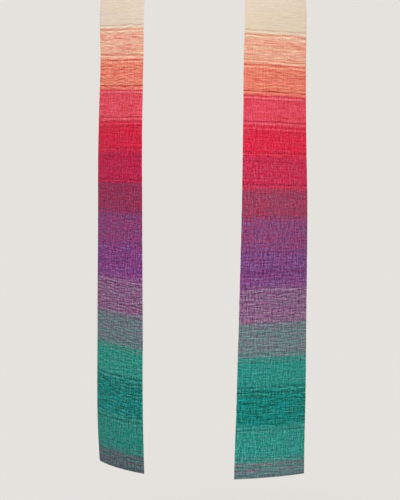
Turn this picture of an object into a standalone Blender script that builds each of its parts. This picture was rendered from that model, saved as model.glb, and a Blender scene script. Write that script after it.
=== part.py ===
"""A clerical stole in the form that it takes when worn.

Two long panels are joined by a seam at the nape. Each one goes round the neck, over a shoulder and down the
front, where it bends round the side of the torso and hangs free. Metres, +Z up, the wearer faces -Y, and the
origin is the middle of the nape seam, on the face that lies against the neck.
"""

import math
from collections import namedtuple

import bmesh
import bpy
from mathutils import Vector

# Driving dimensions, in metres.
WALL = 0.0022  # doubled and pressed handwoven cloth
SEAM_GAP = 0.0003  # between the two panels at the nape
ROW_PITCH = 0.02  # between cross-sections along a panel
COLUMNS = 8  # flat strips across a panel's face
BLEND_STEPS = 40  # points worked out between two named sections, before they are spaced evenly
SMOOTH_ANGLE = 40  # degrees; sharper edges than this stay sharp

# A panel's cross-sections, from the nape to the hem, as they are on the wearer's left. x, y and z place the
# middle of the cloth. Its face looks along heading, which is 0 to the front, 90 to the side and 180 to the
# back, and lift above the level. width is measured round the cloth, turn is how far the cloth bends across,
# and slant is how far the weft tips down towards the panel's inner edge. Angles are in degrees.
Section = namedtuple("Section", "x y z heading lift width turn slant")

NECK = (
    Section(0.000, 0.001, 0.000, 180, 24, 0.100, 1, 0),
    Section(0.064, -0.015, 0.008, 143, 38, 0.100, 4, 0),
    Section(0.104, -0.057, 0.014, 115, 58, 0.101, 8, 0),
    Section(0.118, -0.106, 0.012, 84, 67, 0.103, 10, 0),
    Section(0.121, -0.148, -0.010, 50, 54, 0.107, 11, 0),
    Section(0.122, -0.181, -0.048, 39, 34, 0.112, 12, 0),
    Section(0.126, -0.203, -0.106, 37, 15, 0.120, 12, 0),
)
FRONTS = {
    "left_panel": (
        Section(0.1370, -0.213, -0.185, 41, 4, 0.132, 14, 0.4),
        Section(0.1480, -0.214, -0.290, 46, -1, 0.143, 20, 2.0),
        Section(0.1473, -0.212, -0.380, 46, -1, 0.146, 27, -0.9),
        Section(0.1470, -0.209, -0.470, 46, -1, 0.148, 31, -1.1),
        Section(0.1458, -0.206, -0.670, 45, 0, 0.153, 32, 0.6),
        Section(0.1420, -0.204, -0.860, 45, 0, 0.157, 32, 2.0),
        Section(0.1387, -0.203, -1.010, 44, 1, 0.158, 31, 0.4),
        Section(0.1353, -0.202, -1.136, 44, 1, 0.160, 30, 0.9),
    ),
    "right_panel": (
        Section(0.1320, -0.212, -0.185, 40, 4, 0.132, 12, 1.2),
        Section(0.1415, -0.214, -0.290, 43, -1, 0.143, 16, 2.4),
        Section(0.1429, -0.212, -0.380, 44, -1, 0.143, 20, 2.6),
        Section(0.1454, -0.210, -0.470, 44, -1, 0.145, 23, 1.3),
        Section(0.1475, -0.207, -0.670, 45, 0, 0.154, 24, 3.3),
        Section(0.1479, -0.205, -0.860, 45, 0, 0.156, 25, 4.5),
        Section(0.1493, -0.203, -1.010, 45, 1, 0.158, 26, 3.8),
        Section(0.1453, -0.201, -1.125, 46, 1, 0.157, 27, 4.1),
    ),
}
SIDES = {"left_panel": 1, "right_panel": -1}  # the way along X that each panel lies

CLOTH_COLOUR = (0.42, 0.16, 0.20, 1.0)
CLOTH_ROUGHNESS = 0.85


def clear_scene():
    for old in list(bpy.data.objects):
        bpy.data.objects.remove(old)


def facing(heading, lift, side):
    """The unit vector that a face looks along."""
    turned, raised = math.radians(heading), math.radians(lift)
    level = math.cos(raised)
    return Vector((side * math.sin(turned) * level, -math.cos(turned) * level, math.sin(raised)))


def knots(name):
    """A panel's sections as lists of numbers that blend, with one more before the nape and past the hem."""
    side = SIDES[name]
    rows = []
    for section in NECK + FRONTS[name]:
        place = (side * section.x, section.y, section.z)
        look = facing(section.heading, section.lift, side)
        rows.append([*place, *look, section.width, section.turn, section.slant])
    across_seam = [-rows[1][0], *rows[1][1:3], -rows[1][3], *rows[1][4:]]
    past_hem = [2 * last - before for last, before in zip(rows[-1], rows[-2])]
    return [across_seam, *rows, past_hem]


def blend(before, start, end, after, share):
    """A smooth curve from start to end, whose slopes allow for how far apart the knots are."""
    span_before, span, span_after = (
        math.dist(a[:3], b[:3]) for a, b in ((before, start), (start, end), (end, after))
    )
    squared, cubed = share**2, share**3
    mixed = []
    for p0, p1, p2, p3 in zip(before, start, end, after):
        chord = (p2 - p1) / span
        slope_in = ((p1 - p0) / span_before * span + chord * span_before) / (span_before + span)
        slope_out = (chord * span_after + (p3 - p2) / span_after * span) / (span + span_after)
        place = (2 * cubed - 3 * squared + 1) * p1 + (3 * squared - 2 * cubed) * p2
        bend = (cubed - 2 * squared + share) * slope_in + (cubed - squared) * slope_out
        mixed.append(place + bend * span)
    return mixed


def rows_along(name):
    """The panel's sections at an even pitch along its middle line, from the nape to the hem."""
    marks = knots(name)
    fine = []
    for i in range(1, len(marks) - 2):
        fine += [blend(*marks[i - 1 : i + 3], step / BLEND_STEPS) for step in range(BLEND_STEPS)]
    fine.append(marks[-2])
    travelled = [0.0]
    for a, b in zip(fine, fine[1:]):
        travelled.append(travelled[-1] + math.dist(a[:3], b[:3]))
    count = round(travelled[-1] / ROW_PITCH)
    rows, at = [], 0
    for row in range(count + 1):
        wanted = travelled[-1] * row / count
        while at < len(fine) - 2 and travelled[at + 1] < wanted:
            at += 1
        share = (wanted - travelled[at]) / (travelled[at + 1] - travelled[at])
        rows.append([a + (b - a) * share for a, b in zip(fine[at], fine[at + 1])])
    return rows


def heading_down(rows, i, side):
    """The way that the panel runs at a row; at the seam it runs straight out to the side."""
    if i == 0:
        return Vector((side, 0, 0))
    ahead, behind = rows[min(i + 1, len(rows) - 1)], rows[i - 1]
    return (Vector(ahead[:3]) - Vector(behind[:3])).normalized()


def ring(row, along, side):
    """A closed cross-section of the wall: its outer face, outer edge, inner face and inner edge."""
    middle, look = Vector(row[:3]), Vector(row[3:6])
    width, half_turn, slant = row[6], math.radians(row[7]) / 2, math.radians(row[8])
    look = (look - along * look.dot(along)).normalized()
    outward = side * look.cross(along)
    radius = width / (2 * half_turn)
    middle = middle + look * radius * (1 - math.cos(half_turn)) / 2

    def wall_point(share, depth=0.0, beyond=0.0):
        """share runs from -1 at the inner edge to 1 at the outer edge; depth is off the wall's middle."""
        angle = share * half_turn
        normal = look * math.cos(angle) + outward * math.sin(angle)
        sideways = outward * math.cos(angle) - look * math.sin(angle)
        point = middle + outward * radius * math.sin(angle) - look * radius * (1 - math.cos(angle))
        lowered = -share * width / 2 * math.tan(slant)
        return point + along * lowered + normal * depth + sideways * beyond

    shares = [2 * column / COLUMNS - 1 for column in range(COLUMNS + 1)]
    outer = [wall_point(share, WALL / 2) for share in shares]
    inner = [wall_point(share, -WALL / 2) for share in reversed(shares)]
    return [*outer, wall_point(1, beyond=WALL / 2), *inner, wall_point(-1, beyond=-WALL / 2)]


def cap(mesh, ring_verts):
    """Close an end of the wall with a strip of faces from its outer face to its inner face."""
    outer = ring_verts[: COLUMNS + 1]
    outer_edge = ring_verts[COLUMNS + 1]
    inner = list(reversed(ring_verts[COLUMNS + 2 : -1]))
    inner_edge = ring_verts[-1]
    mesh.faces.new((inner_edge, outer[0], inner[0]))
    for i in range(COLUMNS):
        mesh.faces.new((outer[i], outer[i + 1], inner[i + 1], inner[i]))
    mesh.faces.new((outer[-1], outer_edge, inner[-1]))


def panel(name, cloth):
    """One panel as a closed wall through its cross-sections."""
    side, rows = SIDES[name], rows_along(name)
    mesh = bmesh.new()
    rings = []
    for i, row in enumerate(rows):
        points = ring(row, heading_down(rows, i, side), side)
        if i == 0:
            for point in points:
                point.x = side * SEAM_GAP / 2
        rings.append([mesh.verts.new(point) for point in points])
    for before, after in zip(rings, rings[1:]):
        for i in range(len(before)):
            j = (i + 1) % len(before)
            mesh.faces.new((before[i], before[j], after[j], after[i]))
    cap(mesh, rings[0])
    cap(mesh, rings[-1])
    bmesh.ops.recalc_face_normals(mesh, faces=mesh.faces)
    data = bpy.data.meshes.new(name)
    mesh.to_mesh(data)
    mesh.free()
    data.shade_smooth()
    data.set_sharp_from_angle(angle=math.radians(SMOOTH_ANGLE))
    data.materials.append(cloth)
    bpy.context.scene.collection.objects.link(bpy.data.objects.new(name, data))


def woven_cloth():
    material = bpy.data.materials.new("woven_cloth")
    material.use_nodes = True
    shader = material.node_tree.nodes["Principled BSDF"]
    shader.inputs["Base Color"].default_value = CLOTH_COLOUR
    shader.inputs["Roughness"].default_value = CLOTH_ROUGHNESS
    return material


def main():
    clear_scene()
    cloth = woven_cloth()
    for name in SIDES:
        panel(name, cloth)


main()
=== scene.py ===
"""A handwoven clerical stole as it hangs when worn: two banded panels, the nape seam and the sewn hems."""

import math
from collections import namedtuple

import bpy
from mathutils import Matrix, Vector, noise

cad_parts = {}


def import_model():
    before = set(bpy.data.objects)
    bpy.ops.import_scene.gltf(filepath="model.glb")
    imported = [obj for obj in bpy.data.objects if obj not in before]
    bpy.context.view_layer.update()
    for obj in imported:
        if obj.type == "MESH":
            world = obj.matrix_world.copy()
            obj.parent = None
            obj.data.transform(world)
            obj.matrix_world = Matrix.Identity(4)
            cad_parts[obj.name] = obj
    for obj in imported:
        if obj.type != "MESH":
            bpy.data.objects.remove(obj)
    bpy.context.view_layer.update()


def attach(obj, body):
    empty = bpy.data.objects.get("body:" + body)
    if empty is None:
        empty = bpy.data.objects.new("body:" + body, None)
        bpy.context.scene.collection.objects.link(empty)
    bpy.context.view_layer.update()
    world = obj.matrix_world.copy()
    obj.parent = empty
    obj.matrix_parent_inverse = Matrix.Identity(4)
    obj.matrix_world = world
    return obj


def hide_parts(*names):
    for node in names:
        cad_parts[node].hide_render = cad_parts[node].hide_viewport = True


# ---------------------------------------------------------------------------------------------------------
# The form that the cloth takes, in metres: the wearer faces -Y and the middle of the nape seam is the origin.
# x, y and z place the middle of the cloth. Its face looks along heading, which is 0 to the front, 90 to the
# side and 180 to the back, and lift above the level. width is measured round the cloth, turn is how far it
# bends across, and slant is how far the weft tips down towards the inner edge. Angles are in degrees.
Section = namedtuple("Section", "x y z heading lift width turn slant")

NECK = (
    Section(0.000, 0.001, 0.000, 180, 24, 0.100, 1, 0),
    Section(0.064, -0.015, 0.008, 143, 38, 0.100, 4, 0),
    Section(0.104, -0.057, 0.014, 115, 58, 0.101, 8, 0),
    Section(0.118, -0.106, 0.012, 84, 67, 0.103, 10, 0),
    Section(0.121, -0.148, -0.010, 50, 54, 0.107, 11, 0),
    Section(0.122, -0.181, -0.048, 39, 34, 0.112, 12, 0),
    Section(0.126, -0.203, -0.106, 37, 15, 0.120, 12, 0),
)
FRONTS = {
    "left": (
        Section(0.1370, -0.213, -0.185, 41, 4, 0.132, 14, 0.4),
        Section(0.1480, -0.214, -0.290, 46, -1, 0.143, 20, 2.0),
        Section(0.1473, -0.212, -0.380, 46, -1, 0.146, 27, -0.9),
        Section(0.1470, -0.209, -0.470, 46, -1, 0.148, 31, -1.1),
        Section(0.1458, -0.206, -0.670, 45, 0, 0.153, 32, 0.6),
        Section(0.1420, -0.204, -0.860, 45, 0, 0.157, 32, 2.0),
        Section(0.1387, -0.203, -1.010, 44, 1, 0.158, 31, 0.4),
        Section(0.1353, -0.202, -1.136, 44, 1, 0.160, 30, 0.9),
    ),
    "right": (
        Section(0.1320, -0.212, -0.185, 40, 4, 0.132, 12, 1.2),
        Section(0.1415, -0.214, -0.290, 43, -1, 0.143, 16, 2.4),
        Section(0.1429, -0.212, -0.380, 44, -1, 0.143, 20, 2.6),
        Section(0.1454, -0.210, -0.470, 44, -1, 0.145, 23, 1.3),
        Section(0.1475, -0.207, -0.670, 45, 0, 0.154, 24, 3.3),
        Section(0.1479, -0.205, -0.860, 45, 0, 0.156, 25, 4.5),
        Section(0.1493, -0.203, -1.010, 45, 1, 0.158, 26, 3.8),
        Section(0.1453, -0.201, -1.125, 46, 1, 0.157, 27, 4.1),
    ),
}
SIDES = {"left": 1, "right": -1}  # the way along X that each panel lies
# Numbers that keep one panel's unevenness unlike the other's, in its yarn, its edges and its dyes.
Seeds = namedtuple("Seeds", "yarn edge dye")
SEEDS = {"left": Seeds(20.0, 70.0, 3.0), "right": Seeds(50.0, -70.0, 8.0)}
WALL = 0.0020  # doubled and pressed cloth
SEAM_GAP = 0.0003  # between the two panels at the nape

# ---------------------------------------------------------------------------------------------------------
# The weaver's plan, from the hem up. left and right are where a band starts on each panel, in metres from the
# hem. ground and second are the two yarns that the weaver crosses, in sRGB, and patches is how far they lie
# in broad patches and not thread by thread. blur is how far the band runs into the one below it. crinkle is
# how far its slubby picks stand up and wander. runs is how much the yarns change along the weft and not along
# the warp. streak is how far light picks are from dark ones, and grain how far light ends of warp are from
# dark ones, both as shares of the way from black to white that the eye sees.
Band = namedtuple("Band", "name left right ground second patches blur crinkle runs streak grain")

BANDS = (
    Band("hem", 0.000, 0.000, (97, 113, 124), (79, 132, 122), 0.35, 0.003, 0.15, 0.6, 0.17, 0.13),
    Band("sea green", 0.030, 0.031, (38, 142, 129), (50, 133, 130), 0.45, 0.005, 0.10, 0.5, 0.13, 0.18),
    Band("teal", 0.094, 0.098, (14, 114, 104), (2, 131, 126), 0.45, 0.004, 0.15, 0.7, 0.22, 0.18),
    Band("jade", 0.165, 0.171, (34, 140, 126), (46, 133, 129), 0.45, 0.003, 0.10, 0.6, 0.14, 0.15),
    Band("slate", 0.218, 0.227, (111, 115, 128), (95, 130, 127), 0.30, 0.006, 0.12, 0.7, 0.18, 0.13),
    Band("mauve", 0.280, 0.284, (130, 101, 130), (136, 83, 128), 0.35, 0.004, 0.10, 0.7, 0.27, 0.18),
    Band("violet", 0.343, 0.348, (119, 72, 131), (130, 66, 124), 0.60, 0.006, 0.04, 0.3, 0.14, 0.18),
    Band("purple", 0.410, 0.413, (130, 71, 120), (144, 63, 111), 0.55, 0.006, 0.04, 0.2, 0.10, 0.16),
    Band("plum", 0.470, 0.474, (146, 66, 96), (170, 54, 87), 0.35, 0.004, 0.04, 0.2, 0.09, 0.13),
    Band("crimson", 0.521, 0.524, (203, 41, 79), (188, 51, 83), 0.45, 0.002, 0.04, 0.3, 0.09, 0.15),
    Band("red", 0.580, 0.582, (223, 37, 67), (210, 44, 73), 0.45, 0.004, 0.05, 0.3, 0.09, 0.14),
    Band("rose", 0.635, 0.638, (230, 79, 101), (217, 62, 77), 0.50, 0.003, 0.15, 0.5, 0.09, 0.11),
    Band("coral", 0.692, 0.696, (239, 140, 116), (227, 106, 92), 0.30, 0.003, 0.80, 0.9, 0.19, 0.09),
    Band("peach", 0.746, 0.752, (244, 190, 164), (233, 144, 122), 0.30, 0.002, 1.00, 1.0, 0.16, 0.07),
    Band("cream", 0.801, 0.808, (231, 215, 189), (228, 206, 190), 0.30, 0.003, 0.25, 0.9, 0.04, 0.02),
    Band("shell", 0.852, 0.856, (232, 216, 196), (229, 209, 196), 0.30, 0.012, 0.25, 0.9, 0.04, 0.02),
)

# The right panel's yarn comes partly from other skeins, and partly its colour is painted shade that darkens
# its
# lower bands: how much red, green and blue light each of its bands gives back for what the same band gives on
# the left.
OTHER_SKEINS_AND_PAINTED_SHADE = {
    "hem": (0.70, 0.60, 0.67),
    "sea green": (0.67, 0.78, 0.76),
    "teal": (1.07, 0.90, 0.93),
    "jade": (1.05, 0.92, 0.89),
    "slate": (0.88, 0.86, 0.88),
    "mauve": (0.92, 0.87, 0.92),
    "violet": (1.02, 0.78, 0.95),
    "purple": (0.91, 0.74, 0.87),
    "plum": (0.84, 0.57, 0.78),
    "crimson": (0.83, 0.49, 0.79),
    "red": (0.86, 0.71, 0.84),
    "rose": (0.96, 1.09, 1.01),
    "coral": (0.97, 1.01, 1.02),
    "peach": (0.99, 1.01, 1.02),
    "cream": (1.00, 1.01, 1.06),
    "shell": (1.00, 1.00, 1.00),
}

# How strong the light and dark threads of those skeins are beside the left panel's.
OTHER_UNEVENNESS = 1.2

# Single picks thrown inside the bands or at a change of colour. dye is in sRGB, width is from edge to edge,
# raised is how far the yarn stands out of the cloth or, below 0, is pulled into it, cover is how much of the
# cloth under it the yarn hides, and broken is how much of its length dives behind the cloth.
# The dye of a raised pick is partly painted highlight, paler than its yarn, and that of a pick pulled in
# partly painted shade, darker than its yarn.
Pick = namedtuple("Pick", "left right dye width raised cover broken")

PICKS = (
    Pick(0.003, 0.004, (76, 84, 86), 0.005, -0.0001, 0.60, 0.0),
    Pick(0.009, 0.008, (112, 116, 130), 0.003, 0.0001, 0.60, 0.5),
    Pick(0.014, 0.014, (148, 62, 104), 0.004, 0.0000, 0.55, 1.0),
    Pick(0.020, 0.022, (66, 108, 104), 0.005, -0.0001, 0.60, 0.4),
    Pick(0.024, 0.027, (140, 70, 108), 0.004, 0.0001, 0.50, 1.0),
    Pick(0.031, 0.033, (56, 140, 126), 0.004, 0.0001, 0.70, 0.6),
    Pick(0.036, 0.038, (78, 110, 114), 0.004, -0.0001, 0.75, 0.6),
    Pick(0.082, 0.086, (62, 152, 142), 0.004, 0.0001, 0.60, 0.4),
    Pick(0.086, 0.090, (28, 100, 92), 0.004, -0.0002, 0.90, 0.1),
    Pick(0.090, 0.094, (62, 152, 142), 0.004, 0.0001, 0.70, 0.3),
    Pick(0.150, 0.156, (40, 134, 124), 0.004, 0.0001, 0.70, 0.3),
    Pick(0.154, 0.159, (22, 100, 94), 0.004, -0.0002, 0.80, 0.0),
    Pick(0.160, 0.166, (50, 144, 134), 0.005, 0.0001, 0.80, 0.0),
    Pick(0.164, 0.170, (20, 102, 94), 0.004, -0.0002, 0.90, 0.0),
    Pick(0.210, 0.219, (84, 114, 114), 0.004, 0.0000, 0.70, 0.5),
    Pick(0.2145, 0.223, (58, 140, 130), 0.005, 0.0001, 0.80, 0.3),
    Pick(0.221, 0.2295, (104, 124, 128), 0.005, 0.0001, 0.80, 0.4),
    Pick(0.225, 0.234, (70, 112, 110), 0.004, -0.0001, 0.70, 0.4),
    Pick(0.272, 0.281, (102, 88, 106), 0.004, -0.0001, 0.80, 0.5),
    Pick(0.277, 0.286, (122, 130, 142), 0.005, 0.0001, 0.75, 0.4),
    Pick(0.280, 0.292, (112, 82, 110), 0.004, -0.0001, 0.70, 0.5),
    Pick(0.284, 0.295, (146, 72, 108), 0.003, 0.0000, 0.60, 0.9),
    Pick(0.334, 0.340, (112, 68, 108), 0.004, -0.0001, 0.75, 0.4),
    Pick(0.339, 0.3445, (154, 120, 150), 0.005, 0.0002, 0.85, 0.4),
    Pick(0.343, 0.350, (112, 64, 108), 0.004, -0.0001, 0.75, 0.4),
    Pick(0.348, 0.354, (146, 98, 144), 0.004, 0.0001, 0.75, 0.5),
    Pick(0.373, 0.380, (108, 50, 108), 0.012, 0.0000, 0.70, 0.3),
    Pick(0.392, 0.397, (110, 54, 108), 0.005, -0.0001, 0.60, 0.5),
    Pick(0.408, 0.411, (116, 52, 100), 0.005, -0.0001, 0.75, 0.5),
    Pick(0.465, 0.469, (164, 62, 102), 0.005, 0.0001, 0.75, 0.5),
    Pick(0.469, 0.472, (128, 50, 84), 0.004, -0.0001, 0.80, 0.4),
    Pick(0.514, 0.516, (166, 52, 84), 0.004, 0.0001, 0.60, 0.6),
    Pick(0.525, 0.527, (206, 60, 92), 0.005, 0.0001, 0.80, 0.3),
    Pick(0.5285, 0.530, (152, 36, 64), 0.004, -0.0002, 0.85, 0.0),
    Pick(0.570, 0.571, (178, 32, 62), 0.004, -0.0001, 0.70, 0.3),
    Pick(0.582, 0.584, (222, 60, 86), 0.004, 0.0001, 0.75, 0.0),
    Pick(0.586, 0.588, (184, 32, 58), 0.004, -0.0002, 0.85, 0.0),
    Pick(0.6245, 0.627, (198, 34, 58), 0.004, -0.0001, 0.75, 0.0),
    Pick(0.6285, 0.6315, (240, 82, 104), 0.004, 0.0002, 0.85, 0.0),
    Pick(0.633, 0.635, (202, 48, 68), 0.004, -0.0002, 0.80, 0.0),
    Pick(0.6376, 0.6401, (236, 88, 106), 0.005, 0.0003, 0.90, 0.0),
    Pick(0.6417, 0.644, (176, 34, 54), 0.004, -0.0002, 0.90, 0.0),
    Pick(0.6812, 0.6868, (196, 50, 66), 0.004, -0.0002, 0.80, 0.2),
    Pick(0.6838, 0.6894, (246, 112, 122), 0.004, 0.0003, 0.95, 0.0),
    Pick(0.6878, 0.6930, (196, 60, 68), 0.005, -0.0003, 0.85, 0.0),
    Pick(0.6926, 0.6977, (243, 127, 116), 0.006, 0.0004, 0.90, 0.0),
    Pick(0.6963, 0.7015, (178, 52, 46), 0.004, -0.0003, 0.95, 0.0),
    Pick(0.706, 0.711, (216, 130, 92), 0.006, 0.0001, 0.55, 1.0),
    Pick(0.716, 0.721, (240, 98, 100), 0.005, 0.0000, 0.50, 1.0),
    Pick(0.724, 0.730, (204, 86, 74), 0.003, -0.0003, 0.70, 0.9),
    Pick(0.731, 0.737, (226, 146, 108), 0.005, 0.0001, 0.50, 1.0),
    Pick(0.7393, 0.7455, (255, 170, 144), 0.004, 0.0004, 0.95, 0.0),
    Pick(0.7436, 0.748, (208, 108, 88), 0.005, -0.0004, 0.85, 0.0),
    Pick(0.7488, 0.7537, (255, 192, 164), 0.0044, 0.0005, 0.95, 0.0),
    Pick(0.7515, 0.7575, (208, 124, 98), 0.004, -0.0004, 0.85, 0.0),
    Pick(0.757, 0.763, (226, 186, 140), 0.005, 0.0001, 0.60, 1.0),
    Pick(0.762, 0.768, (212, 136, 108), 0.003, -0.0003, 0.70, 0.8),
    Pick(0.767, 0.773, (238, 148, 134), 0.004, -0.0001, 0.60, 0.8),
    Pick(0.774, 0.781, (228, 190, 148), 0.006, 0.0001, 0.60, 1.0),
    Pick(0.779, 0.786, (214, 140, 112), 0.003, -0.0003, 0.70, 0.8),
    Pick(0.785, 0.792, (236, 144, 128), 0.005, -0.0001, 0.60, 0.9),
    Pick(0.790, 0.797, (226, 182, 142), 0.004, 0.0002, 0.60, 0.9),
    Pick(0.7930, 0.801, (255, 214, 186), 0.0044, 0.0004, 1.00, 0.0),
    Pick(0.7965, 0.8042, (206, 142, 116), 0.005, -0.0003, 0.85, 0.0),
    Pick(0.8018, 0.809, (242, 220, 192), 0.005, 0.0003, 0.85, 0.0),
    Pick(0.806, 0.8125, (204, 164, 140), 0.004, -0.0003, 0.80, 0.2),
    Pick(0.812, 0.818, (232, 216, 172), 0.005, 0.0001, 0.40, 0.8),
    Pick(0.8165, 0.8225, (214, 192, 164), 0.003, -0.0001, 0.45, 1.0),
    Pick(0.823, 0.829, (234, 210, 192), 0.005, 0.0001, 0.40, 0.8),
    Pick(0.829, 0.835, (218, 200, 174), 0.003, -0.0001, 0.40, 1.0),
    Pick(0.836, 0.842, (232, 214, 178), 0.005, 0.0001, 0.40, 0.9),
)

# Creases set by wear, on the flat cloth in metres: where the middle of each lies from the nape and across
# towards the outer edge, how far it runs, how wide it is and how far it stands out or, below 0, sinks in.
# tilt is how far it turns from the length of the cloth towards the outer edge, in degrees.
Crease = namedtuple("Crease", "from_nape across run width tilt depth")

CREASES = {
    "left": (
        Crease(0.072, -0.030, 0.090, 0.024, 14, 0.0040),
        Crease(0.088, 0.004, 0.080, 0.022, 24, -0.0032),
        Crease(0.150, -0.028, 0.110, 0.024, -12, 0.0042),
        Crease(0.176, 0.012, 0.100, 0.026, -22, -0.0036),
        Crease(0.212, -0.006, 0.110, 0.026, -8, 0.0030),
        Crease(0.258, 0.026, 0.130, 0.030, 6, -0.0026),
        Crease(0.320, -0.034, 0.160, 0.034, -4, 0.0018),
        Crease(0.470, 0.020, 0.260, 0.050, 3, -0.0009),
        Crease(0.760, -0.018, 0.300, 0.055, -3, 0.0010),
        Crease(1.060, 0.030, 0.280, 0.050, 2, -0.0009),
        Crease(0.960, -0.024, 0.240, 0.070, 2, 0.0016),
        Crease(0.990, 0.076, 0.260, 0.044, 0, -0.0004),
        Crease(0.690, 0.000, 0.350, 0.130, 0, -0.0038),
        Crease(1.310, 0.000, 0.120, 0.130, 0, -0.0025),
    ),
    "right": (
        Crease(0.064, -0.024, 0.090, 0.024, 18, 0.0037),
        Crease(0.100, 0.010, 0.090, 0.026, 20, -0.0036),
        Crease(0.142, -0.031, 0.100, 0.023, -10, 0.0041),
        Crease(0.186, 0.004, 0.100, 0.026, -24, -0.0037),
        Crease(0.226, -0.014, 0.120, 0.026, -6, 0.0030),
        Crease(0.270, 0.032, 0.120, 0.028, 8, -0.0025),
        Crease(0.345, -0.020, 0.150, 0.036, -3, 0.0017),
        Crease(0.530, 0.014, 0.280, 0.048, 4, -0.0010),
        Crease(0.830, -0.030, 0.300, 0.050, -2, 0.0009),
        Crease(1.120, 0.022, 0.260, 0.055, 3, -0.0008),
        Crease(0.920, 0.077, 0.240, 0.036, 0, -0.0012),
        Crease(1.220, 0.078, 0.160, 0.032, 0, -0.0009),
        Crease(0.420, 0.030, 0.180, 0.070, 0, 0.0014),
        Crease(0.600, 0.000, 0.300, 0.130, 0, -0.0045),
        Crease(1.180, 0.000, 0.240, 0.130, 0, -0.0030),
    ),
}

# The grain of the cloth, in metres.
PICK_PITCH = 0.0020  # from one pick of weft to the next
END_PITCH = 0.0021  # from one end of warp to the next
COLUMNS = 28  # faces across a panel
ROW_PITCH = 0.0012  # from one row of faces to the next
SLUB = 0.00100  # how far a slubby pick stands up where crinkle is 1
WANDER = 0.0014  # how far such a pick strays up and down along its length
PICK_STRAY = 0.0013  # how far a thrown pick strays from its line
LEAST_BLUR = 0.004  # the shortest way over which one band's crinkle runs into the next
EDGE_WAVER = 0.0004  # unevenness of the long edges
TURNED_EDGE = 0.014  # how wide the cloth is turned in along its edges
TURNED_STEP = 0.0002  # how far that shows on its face
TURNED_SLOPE = 0.003  # how wide the slope of that step is
EDGE_ROUND = 0.0007  # rounding of the pressed edges
SEAM_EASE = 0.012  # how far in from the nape seam the cloth is free of its stitches
HEM_EASE = 0.006  # and how far in from the hem

# The sewing, in metres.
THREAD = 0.0006  # thickness of the sewing thread
NAPE_REACH = 0.045  # how far the nape stitches go either way from the middle of the seam
NAPE_STEP = 0.006
NAPE_STITCH = 0.0040  # length of one
NAPE_LEAN = 14  # how far they lean from square to the seam, in degrees
NAPE_UNEVEN = 8  # and how far that varies
HEM_STEP = 0.006
HEM_STITCH = 0.0030
HEM_MARGIN = 0.004  # from the last stitch to the corner of the hem
HEM_STRAY = 0.0008  # how far a stitch is off its place
NAPE_DYE = (222, 204, 182)
HEM_DYE = (96, 110, 116)

# The dyes.
DYE_STRAY = 0.012  # how far a pick can take its band's colour from, in metres
SPECKLE = 0.30  # how far single crossings choose the yarn, and not the run of a thread
YARN_CHANGE = (0.30, 0.80)  # where on that choice the ground yarn starts to give way and where it has
PAINTED_CROWN_LIGHT = 0.06  # painted highlight on a thread's crown, against painted shade on its sides
CROWN_MEAN = -0.034  # what keeps the mean of the cloth where its dye is
SPECK_SHARE = 0.8  # how strong the shade of a single crossing is beside that of an end
EYE = 2.2  # the power that turns light into even steps to the eye
DARKEST = 0.02

# ---------------------------------------------------------------------------------------------------------
# The studio.
WHITE = (0.783, 0.762, 0.728, 1.0)
FLOOR = (0.693, 0.682, 0.663, 1.0)
SKY_LIGHT = 0.50  # the soft light from all round, as a share of white
# The broad lamps: how strong each is, how far it is above the level and how far towards the wearer's left of
# straight ahead, both in degrees.
LAMPS = {
    "front lamp": (1.80, 48, 3),
    "left lamp": (0.58, 30, 68),
    "right lamp": (0.58, 30, -68),
    "back lamp": (0.80, 30, 192),
}
LAMP_SPREAD = 25  # how broad each lamp looks, in degrees
FLOOR_Z = -1.41  # the hems hang about 0.27 m clear of it
FLOOR_RADIUS = 200

# The camera, in metres and degrees. It is level.
BODY_MIDDLE = (0, -0.098, 0)
CAMERA_TURN = 10  # towards the wearer's left of straight ahead
CAMERA_AWAY = 3.45
CAMERA_ASIDE = -0.0134
CAMERA_Z = -0.725
CAMERA_LENS = 132  # in mm, on a frame of 36 mm
CAMERA_FRAME = 36
CAMERA_REACH = 500


def linear(srgb):
    """A dye given in sRGB, from 0 to 255, as the renderer's linear colour."""
    shares = [channel / 255 for channel in srgb]
    return [s / 12.92 if s <= 0.04045 else ((s + 0.055) / 1.055) ** 2.4 for s in shares]


def smooth(share):
    """0 up to 0, 1 from 1 on, and an even S between them."""
    share = min(max(share, 0.0), 1.0)
    return share * share * (3 - 2 * share)


def uneven(*place):
    """Smooth noise at a place given by three numbers, about -1 to 1."""
    return noise.noise(Vector(place))


# ---------------------------------------------------------------------------------------------------------
# The worn form.
Frame = namedtuple("Frame", "middle look outward down radius half_width slant")


def facing(heading, lift, side):
    """The way that a section's face looks."""
    turned, raised = math.radians(heading), math.radians(lift)
    level = math.cos(raised)
    return Vector((side * math.sin(turned) * level, -math.cos(turned) * level, math.sin(raised)))


def knots(name):
    """A panel's sections as lists of numbers that blend, with one more before the nape and past the hem."""
    side = SIDES[name]
    rows = []
    for section in NECK + FRONTS[name]:
        place = (side * section.x, section.y, section.z)
        look = facing(section.heading, section.lift, side)
        rows.append([*place, *look, section.width, section.turn, section.slant])
    across_seam = [-rows[1][0], *rows[1][1:3], -rows[1][3], *rows[1][4:]]
    past_hem = [2 * last - before for last, before in zip(rows[-1], rows[-2])]
    return [across_seam, *rows, past_hem]


def blend(before, start, end, after, share):
    """A smooth curve from start to end, whose slopes allow for how far apart the knots are."""
    spans = [math.dist(a[:3], b[:3]) for a, b in ((before, start), (start, end), (end, after))]
    squared, cubed = share**2, share**3
    blended = []
    for p0, p1, p2, p3 in zip(before, start, end, after):
        chord = (p2 - p1) / spans[1]
        slope_in = ((p1 - p0) / spans[0] * spans[1] + chord * spans[0]) / (spans[0] + spans[1])
        slope_out = (chord * spans[2] + (p3 - p2) / spans[2] * spans[1]) / (spans[1] + spans[2])
        place = (2 * cubed - 3 * squared + 1) * p1 + (3 * squared - 2 * cubed) * p2
        bend = (cubed - 2 * squared + share) * slope_in + (cubed - squared) * slope_out
        blended.append(place + bend * spans[1])
    return blended


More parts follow.
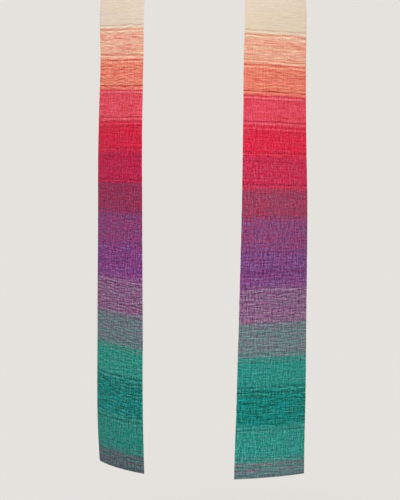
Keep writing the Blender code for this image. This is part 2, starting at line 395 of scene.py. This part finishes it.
def rows_along(name, pitch):
    """The panel's sections at an even pitch along its middle, from the nape to the hem, and its length."""
    marks, steps = knots(name), 60
    fine = []
    for i in range(1, len(marks) - 2):
        fine += [blend(*marks[i - 1 : i + 3], step / steps) for step in range(steps)]
    fine.append(marks[-2])
    travelled = [0.0]
    for a, b in zip(fine, fine[1:]):
        travelled.append(travelled[-1] + math.dist(a[:3], b[:3]))
    length = travelled[-1]
    count = 2 * round(length / pitch / 2)
    rows, at = [], 0
    for row in range(count + 1):
        wanted = length * row / count
        while at < len(fine) - 2 and travelled[at + 1] < wanted:
            at += 1
        share = (wanted - travelled[at]) / (travelled[at + 1] - travelled[at])
        rows.append([a + (b - a) * share for a, b in zip(fine[at], fine[at + 1])])
    return rows, length


def frames_along(name, pitch):
    """Where each row of the cloth lies and how it bends, from the nape to the hem, and the panel's length."""
    side, (rows, length) = SIDES[name], rows_along(name, pitch)
    frames = []
    for i, row in enumerate(rows):
        ahead, behind = rows[min(i + 1, len(rows) - 1)], rows[max(i - 1, 0)]
        down = Vector((side, 0, 0)) if i == 0 else (Vector(ahead[:3]) - Vector(behind[:3])).normalized()
        look = Vector(row[3:6])
        look = (look - down * look.dot(down)).normalized()
        half_turn = math.radians(row[7]) / 2
        radius = row[6] / (2 * half_turn)
        middle = Vector(row[:3]) + look * radius * (1 - math.cos(half_turn)) / 2
        outward = side * look.cross(down)
        frames.append(Frame(middle, look, outward, down, radius, row[6] / 2, math.radians(row[8])))
    return frames, length


def worn_point(frame, across, lower=0.0, height=0.0):
    """A place on the cloth: across from its middle line towards the outer edge, lower along it, and height
    off its middle surface, all in metres."""
    angle = across / frame.radius
    point = frame.middle + frame.outward * frame.radius * math.sin(angle)
    point -= frame.look * frame.radius * (1 - math.cos(angle))
    normal = frame.look * math.cos(angle) + frame.outward * math.sin(angle)
    return point + frame.down * (lower - across * math.tan(frame.slant)) + normal * height


# ---------------------------------------------------------------------------------------------------------
# The woven surface.
def plan_place(name, from_hem):
    """The distance from the hem on the weaver's plan, which is the left panel's, for one on either panel."""
    if name == "left":
        return from_hem
    for below, above in zip(BANDS, BANDS[1:]):
        if from_hem < above.right:
            share = (from_hem - below.right) / (above.right - below.right)
            return below.left + (above.left - below.left) * share
    return from_hem + BANDS[-1].left - BANDS[-1].right


def band_value(place, key):
    """A number from the weaver's plan at a distance from the hem, running smoothly from band to band."""
    value = getattr(BANDS[0], key)
    for band in BANDS[1:]:
        reach = max(band.blur, LEAST_BLUR)
        value += (getattr(band, key) - value) * smooth((place - band.left + reach) / (2 * reach))
    return value


def pick_cover(pick, name, across, from_hem):
    """How much of a thrown pick shows at a place on the cloth, from 0 beside it to 1. It strays, is thick and
    thin along its length and, where it is broken, dives behind the cloth."""
    centre = getattr(pick, name)
    strays = PICK_STRAY * uneven(across / 0.022, centre * 90, 3.0)
    off = abs(from_hem - centre - strays) / (pick.width / 2)
    if off >= 1.0:
        return 0.0
    patchy = 0.9 + 0.5 * uneven(across / 0.018, centre * 70, 8.0)
    patchy -= pick.broken * smooth(0.5 + 2 * uneven(across / 0.013, centre * 110, 5.0))
    return (1 - smooth(off * 1.4 - 0.4)) * min(max(patchy, 0.0), 1.0)


def crease_height(name, across, from_nape):
    """How far the creases set by wear lift the cloth at a place on it."""
    height = 0.0
    for crease in CREASES[name]:
        lower, beside = from_nape - crease.from_nape, across - crease.across
        if abs(lower) > crease.run:
            continue
        tilt = math.radians(crease.tilt)
        along = lower * math.cos(tilt) + beside * math.sin(tilt)
        off = beside * math.cos(tilt) - lower * math.sin(tilt)
        fade = smooth(1 - abs(along) / crease.run * 1.4)
        height += crease.depth * fade * math.exp(-((off / crease.width * 2) ** 2))
    return height


def surface(name, across, from_hem, crinkle, picks):
    """How the woven yarns stand off the smooth cloth at a place: their height, how far they stray lower
    along the panel, and the thrown yarn that covers them, as (height, lower, dye, cover)."""
    seed = SEEDS[name].yarn
    slub = uneven(across / 0.024, from_hem / 0.0028, seed + 5)
    knot = uneven(across / 0.010, from_hem / 0.0028, seed + 7)
    height = crinkle * SLUB * (0.75 * slub + 0.45 * knot)
    wander = uneven(across / 0.045, from_hem / 0.030, seed + 9)
    wander += 0.4 * uneven(across / 0.016, from_hem / 0.012, seed + 3)
    lower = crinkle * WANDER * wander
    dye, cover = (0.0, 0.0, 0.0), 0.0
    for pick in picks:
        here = pick_cover(pick, name, across, from_hem)
        height += pick.raised * here
        if here * pick.cover > cover:
            dye, cover = linear(pick.dye), here * pick.cover
    return height, lower, dye, cover


def ease_at_ends(from_nape, from_hem):
    """0 at the seam and the hem, where the cloth is sewn straight, and 1 a little way in."""
    return smooth(from_nape / SEAM_EASE) * smooth(from_hem / HEM_EASE)


def lay_cloth(name, material):
    """One panel: its flat cut is laid row by row onto the worn form, then given its thickness and edges."""
    side, seed = SIDES[name], SEEDS[name].edge
    frames, length = frames_along(name, ROW_PITCH)
    last = len(frames) - 1
    bpy.ops.object.select_all(action="DESELECT")
    bpy.ops.mesh.primitive_grid_add(x_subdivisions=COLUMNS, y_subdivisions=last, size=1)
    cloth = bpy.context.object
    cloth.name = f"{name}_cloth"
    mesh = cloth.data
    mesh.name = cloth.name
    uvs, dyes = [], []
    for vertex in mesh.vertices:
        row, share = round((0.5 - vertex.co.y) * last), 2 * vertex.co.x
        frame = frames[row]
        from_nape = length * row / last
        from_hem = length - from_nape
        waver = uneven(from_hem / 0.012, share, seed) * EDGE_WAVER
        waver += uneven(from_hem / 0.080, share, seed + 4) * EDGE_WAVER
        half_width = frame.half_width - WALL / 2
        across = share * half_width + waver * share**8
        place = plan_place(name, from_hem)
        near = [pick for pick in PICKS if abs(getattr(pick, name) - from_hem) < pick.width]
        height, lower, dye, cover = surface(name, across, from_hem, band_value(place, "crinkle"), near)
        height += TURNED_STEP * smooth((abs(across) - half_width + TURNED_EDGE) / TURNED_SLOPE)
        height += crease_height(name, across, from_nape)
        eased = ease_at_ends(from_nape, from_hem)
        vertex.co = worn_point(frame, across, lower * eased, height * eased)
        vertex.co.x += side * SEAM_GAP / 2
        uvs.append((across, place))
        dyes.append((*dye, cover))
    uv_map = mesh.uv_layers[0]
    uv_map.name = "cloth"
    for loop in mesh.loops:
        uv_map.data[loop.index].uv = uvs[loop.vertex_index]
    # thrown carries the picks' dyes, with the painted highlight on raised picks and painted shade on
    # pulled-in ones.
    thrown = mesh.color_attributes.new("thrown", "FLOAT_COLOR", "POINT")
    for item, dye in zip(thrown.data, dyes):
        item.color = dye
    mesh.materials.append(material)
    if side > 0:
        mesh.flip_normals()
    thicken(cloth)
    return cloth, frames, length


def thicken(cloth):
    """Give the laid cloth its wall, round its pressed edges and shade it smooth."""
    wall = cloth.modifiers.new("wall", "SOLIDIFY")
    wall.thickness = WALL
    wall.offset = 0.0
    bevel = cloth.modifiers.new("edges", "BEVEL")
    bevel.width = EDGE_ROUND
    bevel.segments = 2
    bevel.limit_method = "ANGLE"
    bevel.angle_limit = math.radians(60)
    bpy.context.view_layer.objects.active = cloth
    for modifier in ("wall", "edges"):
        bpy.ops.object.modifier_apply(modifier=modifier)
    bpy.ops.object.shade_smooth_by_angle(angle=math.radians(50))


# ---------------------------------------------------------------------------------------------------------
# The sewing.
def sew(name, places, length, material):
    """A row of short stitches as one piece. places gives each one's middle, the way it runs and the way out
    of the cloth, and its ends sink into the cloth."""
    bpy.ops.object.select_all(action="DESELECT")
    stitches = []
    for middle, along, outward in places:
        outward = (outward - along * outward.dot(along)).normalized()
        turned = Matrix((along, outward.cross(along), outward)).transposed().to_euler()
        size = (length, THREAD, THREAD)
        bpy.ops.mesh.primitive_uv_sphere_add(
            segments=10, ring_count=8, radius=0.5, location=middle, rotation=turned, scale=size
        )
        stitches.append(bpy.context.object)
    for stitch in stitches:
        stitch.select_set(True)
    bpy.context.view_layer.objects.active = stitches[0]
    bpy.ops.object.join()
    bpy.ops.object.transform_apply(location=True, rotation=True, scale=True)
    bpy.ops.object.shade_smooth()
    row = bpy.context.object
    row.name = row.data.name = name
    row.data.materials.append(material)
    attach(row, "root")
    return row


def nape_places(frame):
    """The ladder stitches that hold the two panels together, on both faces of the seam."""
    places = []
    count = round(2 * NAPE_REACH / NAPE_STEP)
    for face in (1, -1):
        for i in range(count + 1):
            across = -NAPE_REACH + NAPE_STEP * (i + (0.0 if face > 0 else 0.5))
            if across > NAPE_REACH:
                continue
            middle = worn_point(frame, across, 0.0, face * WALL / 2)
            middle.x = 0.0
            tilt = math.radians(NAPE_LEAN + NAPE_UNEVEN * uneven(across / 0.004, face, 2.0))
            along = Vector((1, 0, 0)) * math.cos(tilt) + frame.outward * math.sin(tilt) * face
            places.append((middle, along, frame.look * face))
    return places


def hem_places(frame):
    """The slip stitches that close the doubled cloth along a bottom edge."""
    reach = frame.half_width - HEM_MARGIN
    count = round(2 * reach / HEM_STEP)
    places = []
    for i in range(count + 1):
        across = -reach + 2 * reach * i / count + HEM_STRAY * uneven(i * 0.73, frame.slant, 6.0)
        before, after = worn_point(frame, across - 0.001), worn_point(frame, across + 0.001)
        places.append((worn_point(frame, across), (after - before).normalized(), frame.down))
    return places


# ---------------------------------------------------------------------------------------------------------
# Materials.
def feed(tree, socket, value):
    """Link a socket's output to an input, or set the input to a plain value."""
    if isinstance(value, bpy.types.NodeSocket):
        tree.links.new(value, socket)
    else:
        socket.default_value = value


def put(tree, kind, inputs=None, **settings):
    """A new node with its settings and inputs."""
    made = tree.nodes.new(kind)
    for key, value in settings.items():
        setattr(made, key, value)
    for socket, value in (inputs or {}).items():
        feed(tree, made.inputs[socket], value)
    return made


def sum_of(tree, operation, *values):
    """The result of one Math node."""
    return put(tree, "ShaderNodeMath", dict(enumerate(values)), operation=operation).outputs[0]


def vector_of(tree, operation, *values):
    """The result of one Vector Math node, which also works on colours."""
    return put(tree, "ShaderNodeVectorMath", dict(enumerate(values)), operation=operation).outputs[0]


def mixed(tree, factor, first, second):
    """The result of mixing two colours."""
    made = put(tree, "ShaderNodeMix", data_type="RGBA")
    for socket, value in ((0, factor), (6, first), (7, second)):
        feed(tree, made.inputs[socket], value)
    return made.outputs[2]


def spread(tree, value, low, high):
    """A value stretched so that low becomes 0 and high becomes 1, smoothly."""
    made = put(tree, "ShaderNodeMapRange", {"Value": value, 1: low, 2: high}, interpolation_type="SMOOTHSTEP")
    return made.outputs[0]


def between(tree, factor, first, second):
    """A value mixed from two."""
    return put(tree, "ShaderNodeMix", {0: factor, 2: first, 3: second}, data_type="FLOAT").outputs[0]


def new_group(name, inputs, outputs):
    """A shader node group with its sockets, and its input and output nodes."""
    group = bpy.data.node_groups.new(name, "ShaderNodeTree")
    for socket, kind in inputs.items():
        group.interface.new_socket(socket, in_out="INPUT", socket_type=f"NodeSocket{kind}")
    for socket, kind in outputs.items():
        group.interface.new_socket(socket, in_out="OUTPUT", socket_type=f"NodeSocket{kind}")
    return group, put(group, "NodeGroupInput").outputs, put(group, "NodeGroupOutput").inputs


def use_group(tree, group, inputs):
    """The outputs of a node group in a tree."""
    return put(tree, "ShaderNodeGroup", inputs, node_tree=group).outputs


def band_ramp(tree, place, colour_of):
    """A colour ramp along the weaver's plan. colour_of gives each band's four numbers."""
    ramp = put(tree, "ShaderNodeValToRGB", {"Fac": place})
    stops = ramp.color_ramp.elements
    stops[0].position, stops[0].color = 0.0, colour_of(BANDS[0])
    stops.remove(stops[1])
    for below, above in zip(BANDS, BANDS[1:]):
        for position, band in ((above.left - above.blur, below), (above.left + above.blur, above)):
            stops.new(position).color = colour_of(band)
    return ramp.outputs


def dye_plan_group():
    """The weaver's plan as colour: both weft yarns and the band's habits, by the distance from the hem."""
    habits = ("Patches", "Streak", "Grain")
    group, given, result = new_group(
        "dye plan",
        {"From Hem": "Float"},
        dict.fromkeys(("Ground", "Second", "Skeins And Shade"), "Color") | dict.fromkeys((*habits, "Runs"), "Float"),
    )
    place = given["From Hem"]
    feed(group, result["Ground"], band_ramp(group, place, lambda band: (*linear(band.ground), 1))["Color"])
    feed(group, result["Second"], band_ramp(group, place, lambda band: (*linear(band.second), 1))["Color"])
    numbers = band_ramp(group, place, lambda band: (band.patches, band.streak, band.grain, band.runs))
    split = put(group, "ShaderNodeSeparateColor", {"Color": numbers["Color"]})
    for socket, channel in zip(habits, split.outputs):
        feed(group, result[socket], channel)
    feed(group, result["Runs"], numbers["Alpha"])
    # The right panel's colour beside the left's: partly other skeins, partly painted shade on its lower
    # bands.
    halved = band_ramp(group, place, lambda band: (*(share / 2 for share in OTHER_SKEINS_AND_PAINTED_SHADE[band.name]), 1))
    feed(group, result["Skeins And Shade"], vector_of(group, "MULTIPLY", halved["Color"], (2.0,) * 3))
    return group


def threads_group():
    """The threads of a plain weave, from the cloth's flat coordinates. Every pick and every end has its own
    shades along its length, and Height is how high the thread on top stands at a crossing."""
    tones = ("Weft Yarn", "Warp Yarn", "Weft Tone", "Warp Tone")
    group, given, result = new_group(
        "threads",
        {"Cloth": "Vector", "Seed": "Float"},
        dict.fromkeys((*tones, "Cloud", "Stray", "Speck", "Height"), "Float"),
    )
    flat = put(group, "ShaderNodeSeparateXYZ", {0: given["Cloth"]}).outputs
    across, along, seed = flat["X"], flat["Y"], given["Seed"]

    def noise_over(x, x_size, y, y_size, number, detail=1.0):
        """Noise from two coordinates, with the size of its patches in each and a number to tell it apart."""
        place = put(group, "ShaderNodeCombineXYZ", {"X": sum_of(group, "DIVIDE", x, x_size)})
        feed(group, place.inputs["Y"], sum_of(group, "DIVIDE", y, y_size))
        feed(group, place.inputs["Z"], sum_of(group, "ADD", seed, number))
        made = put(group, "ShaderNodeTexNoise", {"Vector": place.outputs[0], "Scale": 1.0, "Detail": detail})
        return made.outputs["Fac"]

    def count(place, pitch, number):
        """The whole number of threads up to a place, and the share of the next one, with their wavering."""
        waver = noise_over(across, 0.050, along, 0.030, number)
        threads = sum_of(group, "MULTIPLY_ADD", waver, 1.6, sum_of(group, "DIVIDE", place, pitch))
        return sum_of(group, "FLOOR", threads), sum_of(group, "FRACT", threads)

    def unlike_neighbour(place, size, thread, number):
        """Noise along a thread less that along the next one, so that threads side by side differ."""
        threads = [sum_of(group, "ADD", thread, which) for which in (0.5, 1.5)]
        own, beside = (noise_over(place, size, which, 1 / 7, number) for which in threads)
        return spread(group, sum_of(group, "SUBTRACT", own, beside), -0.45, 0.45)

    end, beside_end = count(across, END_PITCH, 31.0)
    pick, beside_pick = count(along, PICK_PITCH, 37.0)
    feed(group, result["Weft Yarn"], unlike_neighbour(across, 0.024, pick, 1.3))
    feed(group, result["Warp Yarn"], unlike_neighbour(along, 0.0075, end, 4.7))
    feed(group, result["Weft Tone"], unlike_neighbour(across, 0.020, pick, 9.1))
    feed(group, result["Warp Tone"], unlike_neighbour(along, 0.0130, end, 12.4))
    clouds = noise_over(across, 0.028, along, 0.008, 15.8, 2.0)
    feed(group, result["Cloud"], spread(group, clouds, 0.25, 0.75))
    feed(group, result["Stray"], noise_over(across, 0.030, pick, 0.29, 21.6))
    crossing = put(group, "ShaderNodeCombineXYZ", {"X": end, "Y": pick, "Z": seed}).outputs[0]
    feed(group, result["Speck"], put(group, "ShaderNodeTexWhiteNoise", {"Vector": crossing}).outputs["Value"])

    def crown(share, dip):
        """The rounded back of a thread: 1 at its middle and lower by dip at its edges."""
        middle = sum_of(group, "MULTIPLY_ADD", share, 2.0, -1.0)
        return sum_of(group, "MULTIPLY_ADD", sum_of(group, "MULTIPLY", middle, middle), -dip, 1.0)

    weft = sum_of(group, "MULTIPLY", crown(beside_pick, 0.9), crown(beside_end, 0.4))
    warp = sum_of(group, "MULTIPLY", crown(beside_end, 0.9), crown(beside_pick, 0.4))
    over = sum_of(group, "FLOORED_MODULO", sum_of(group, "ADD", end, pick), 2.0)
    feed(group, result["Height"], between(group, over, weft, sum_of(group, "MULTIPLY", warp, 0.85)))
    return group


def cloth_material(name, threads, plan):
    """The banded cloth of one panel."""
    material = bpy.data.materials.new(f"{name}_woven_bands")
    material.use_nodes = True
    tree = material.node_tree
    shader = tree.nodes["Principled BSDF"]
    cloth = put(tree, "ShaderNodeUVMap", uv_map="cloth").outputs[0]
    from_hem = put(tree, "ShaderNodeSeparateXYZ", {0: cloth}).outputs["Y"]
    thread = use_group(tree, threads, {"Cloth": cloth, "Seed": SEEDS[name].dye})
    strayed = sum_of(tree, "SUBTRACT", thread["Stray"], 0.5)
    strayed = sum_of(tree, "MULTIPLY_ADD", strayed, DYE_STRAY, from_hem)
    band = use_group(tree, plan, {"From Hem": strayed})

    yarn = between(tree, band["Runs"], thread["Warp Yarn"], thread["Weft Yarn"])
    yarn = between(tree, SPECKLE, yarn, thread["Speck"])
    yarn = between(tree, band["Patches"], yarn, thread["Cloud"])
    colour = mixed(tree, spread(tree, yarn, *YARN_CHANGE), band["Ground"], band["Second"])
    # The thrown picks' colour holds their yarn with painted highlight and painted shade.
    thrown = put(tree, "ShaderNodeVertexColor", layer_name="thrown").outputs
    colour = mixed(tree, thrown["Alpha"], colour, thrown["Color"])

    # Light and dark threads are shaded in even steps to the eye, on a dark dye and on a pale one alike.
    # Height paints a highlight on the crown of each thread and shade on its sides and in the gaps between
    # threads.
    shade = sum_of(tree, "MULTIPLY_ADD", thread["Height"], PAINTED_CROWN_LIGHT, CROWN_MEAN)
    speck = sum_of(tree, "MULTIPLY", band["Grain"], SPECK_SHARE)
    for tone, reach in (("Weft Tone", band["Streak"]), ("Warp Tone", band["Grain"]), ("Speck", speck)):
        lighter = sum_of(tree, "SUBTRACT", thread[tone], 0.5)
        shade = sum_of(tree, "MULTIPLY_ADD", lighter, reach, shade)
    if name == "right":
        shade = sum_of(tree, "MULTIPLY", shade, OTHER_UNEVENNESS)
    colour = put(tree, "ShaderNodeGamma", {"Color": colour, "Gamma": 1 / EYE}).outputs[0]
    colour = vector_of(tree, "MAXIMUM", vector_of(tree, "ADD", colour, shade), (DARKEST,) * 3)
    colour = put(tree, "ShaderNodeGamma", {"Color": colour, "Gamma": EYE}).outputs[0]
    # The right panel takes its other skeins and its painted shade, which darkens its lower bands.
    if name == "right":
        colour = vector_of(tree, "MULTIPLY", colour, band["Skeins And Shade"])
    feed(tree, shader.inputs["Base Color"], colour)
    feed(tree, shader.inputs["Roughness"], sum_of(tree, "MULTIPLY_ADD", thread["Weft Tone"], -0.12, 0.90))
    shader.inputs["Specular IOR Level"].default_value = 0.15
    bump = put(tree, "ShaderNodeBump", {"Height": thread["Height"], "Strength": 0.6, "Distance": 0.0005})
    feed(tree, shader.inputs["Normal"], bump.outputs[0])
    return material


def thread_material(name, dye):
    """Twisted sewing thread: painted highlight and painted shade lie as fine bands along its plies."""
    material = bpy.data.materials.new(name)
    material.use_nodes = True
    tree = material.node_tree
    shader = tree.nodes["Principled BSDF"]
    place = put(tree, "ShaderNodeTexCoord").outputs["Object"]
    wave = {"Vector": place, "Scale": 320.0, "Distortion": 1.5, "Detail": 1.0}
    ply = put(tree, "ShaderNodeTexWave", wave, bands_direction="DIAGONAL").outputs["Fac"]
    # Painted shade and painted highlight: the one dye made darker and lighter for the bands of the plies.
    painted_ply_shade, painted_ply_highlight = ((*(channel * shade for channel in linear(dye)), 1.0) for shade in (0.72, 1.08))
    feed(tree, shader.inputs["Base Color"], mixed(tree, ply, painted_ply_shade, painted_ply_highlight))
    shader.inputs["Roughness"].default_value = 0.75
    shader.inputs["Specular IOR Level"].default_value = 0.25
    bump = put(tree, "ShaderNodeBump", {"Height": ply, "Strength": 0.4, "Distance": 0.0001})
    feed(tree, shader.inputs["Normal"], bump.outputs[0])
    return material


def plain_material(name, colour, roughness):
    """One plain dull colour."""
    material = bpy.data.materials.new(name)
    material.use_nodes = True
    shader = material.node_tree.nodes["Principled BSDF"]
    shader.inputs["Base Color"].default_value = colour
    shader.inputs["Roughness"].default_value = roughness
    shader.inputs["Specular IOR Level"].default_value = 0.0
    return material


# ---------------------------------------------------------------------------------------------------------
# The studio.
def place_camera():
    """A level camera a little to the wearer's left of straight ahead, that frames the hanging panels."""
    turned = math.radians(CAMERA_TURN)
    towards = Vector((math.sin(turned), -math.cos(turned), 0))
    sideways = Vector((math.cos(turned), math.sin(turned), 0))
    camera = bpy.data.objects.new("camera", bpy.data.cameras.new("camera"))
    bpy.context.scene.collection.objects.link(camera)
    camera.location = Vector(BODY_MIDDLE) + towards * CAMERA_AWAY + sideways * CAMERA_ASIDE
    camera.location.z = CAMERA_Z
    camera.rotation_euler = (math.pi / 2, 0, turned)
    camera.data.lens = CAMERA_LENS
    camera.data.sensor_width = CAMERA_FRAME
    camera.data.clip_end = CAMERA_REACH
    bpy.context.scene.camera = camera


def build_studio():
    """A wide pale floor and soft light from all round, with broad lamps in front, behind and to the sides."""
    bpy.ops.object.select_all(action="DESELECT")
    place = (0, 0, FLOOR_Z)
    bpy.ops.mesh.primitive_circle_add(vertices=128, radius=FLOOR_RADIUS, fill_type="NGON", location=place)
    floor = bpy.context.object
    floor.name = "floor"
    floor.data.materials.append(plain_material("floor", FLOOR, 1.0))
    world = bpy.data.worlds.new("studio")
    bpy.context.scene.world = world
    world.use_nodes = True
    tree = world.node_tree
    background = tree.nodes["Background"]
    background.inputs["Color"].default_value = WHITE
    seen = put(tree, "ShaderNodeLightPath").outputs["Is Camera Ray"]
    feed(tree, background.inputs["Strength"], between(tree, seen, SKY_LIGHT, 1.0))
    for name, (strength, height, side) in LAMPS.items():
        lamp = bpy.data.objects.new(name, bpy.data.lights.new(name, "SUN"))
        bpy.context.scene.collection.objects.link(lamp)
        lamp.data.energy = strength
        lamp.data.angle = math.radians(LAMP_SPREAD)
        lamp.rotation_euler = (math.radians(90 - height), 0, math.radians(side))
    bpy.context.scene.view_settings.view_transform = "Standard"


def main():
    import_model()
    place_camera()
    build_studio()
    threads, plan = threads_group(), dye_plan_group()
    nape_thread, hem_thread = thread_material("nape_thread", NAPE_DYE), thread_material("hem_thread", HEM_DYE)
    for name in SIDES:
        material = cloth_material(name, threads, plan)
        cloth, frames, length = lay_cloth(name, material)
        sewing = [sew(f"{name}_hem_stitches", hem_places(frames[-1]), HEM_STITCH, hem_thread)]
        if name == "left":
            sewing.append(sew("nape_stitches", nape_places(frames[0]), NAPE_STITCH, nape_thread))
        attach(cloth, "root")
        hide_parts(f"{name}_panel")


main()
